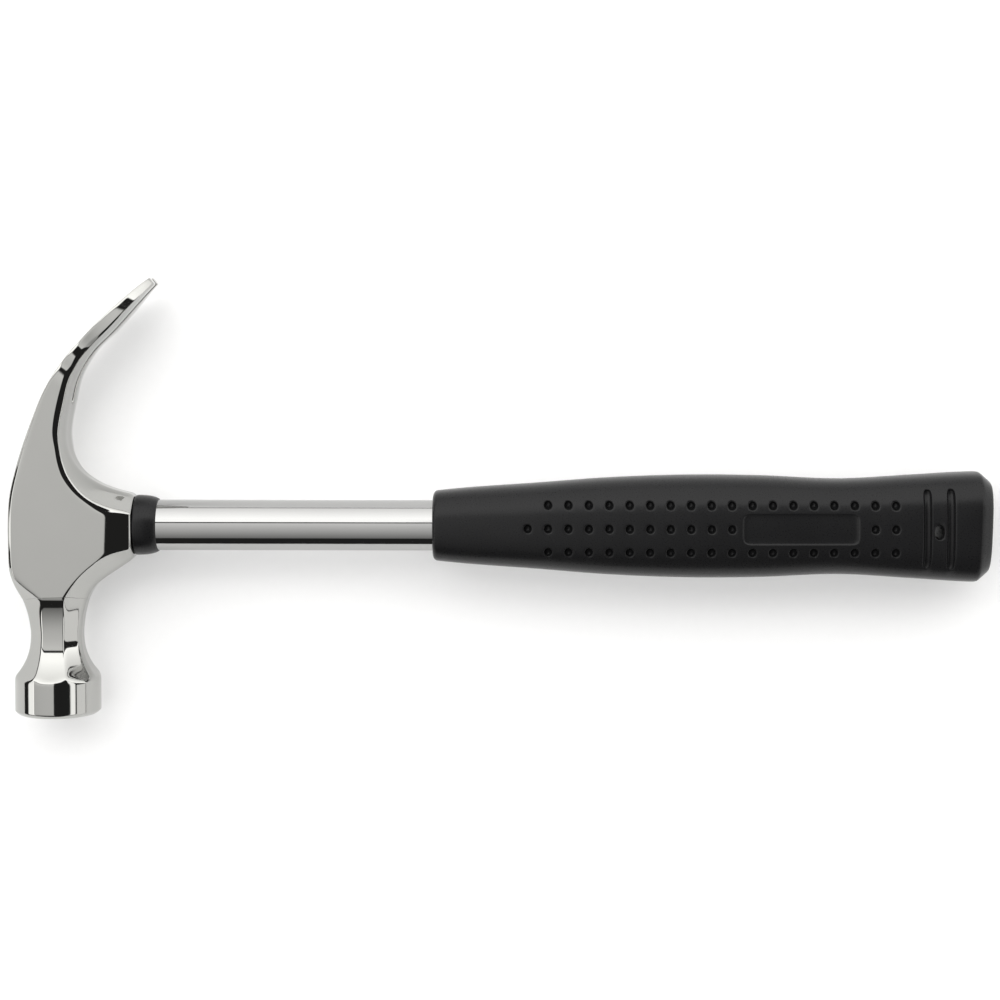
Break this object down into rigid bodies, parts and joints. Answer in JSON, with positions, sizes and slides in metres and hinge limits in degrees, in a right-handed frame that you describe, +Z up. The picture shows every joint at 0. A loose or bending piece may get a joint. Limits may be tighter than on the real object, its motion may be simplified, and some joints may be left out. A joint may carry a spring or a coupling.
{
  "type": "claw hammer",
  "caption": "Curved-claw carpenter's hammer with a chromed forged head, chromed tubular steel shaft and dimpled black rubber grip with a hanging hole.",
  "frame": {"origin": "centre of the foot of the hammer's bounding box, where it lies on its side", "axes": "+X along the shaft from the head to the butt, +Y along the head from the striking face to the claw, +Z up, across the head's thickness"},
  "size_m": [0.3123, 0.1408, 0.0277],
  "materials": {
    "head_chrome": "polished plating over forged and ground steel",
    "shaft_chrome": "polished plating on drawn tube",
    "collar_rubber": "moulded, satin",
    "grip_rubber": "moulded, satin with fine grain",
    "plug_wood": "end grain, sawn",
    "wedge_steel": "bare, bright",
    "cap_plastic": "moulded"
  },
  "bodies": {
    "root": {"hammer_head": "head_chrome", "shaft_tube": "shaft_chrome", "eye_plug": "plug_wood", "ring_wedge": "wedge_steel", "neck_collar": "collar_rubber", "grip_sleeve": "grip_rubber", "butt_plug": "cap_plastic"}
  },
  "joints": []
}
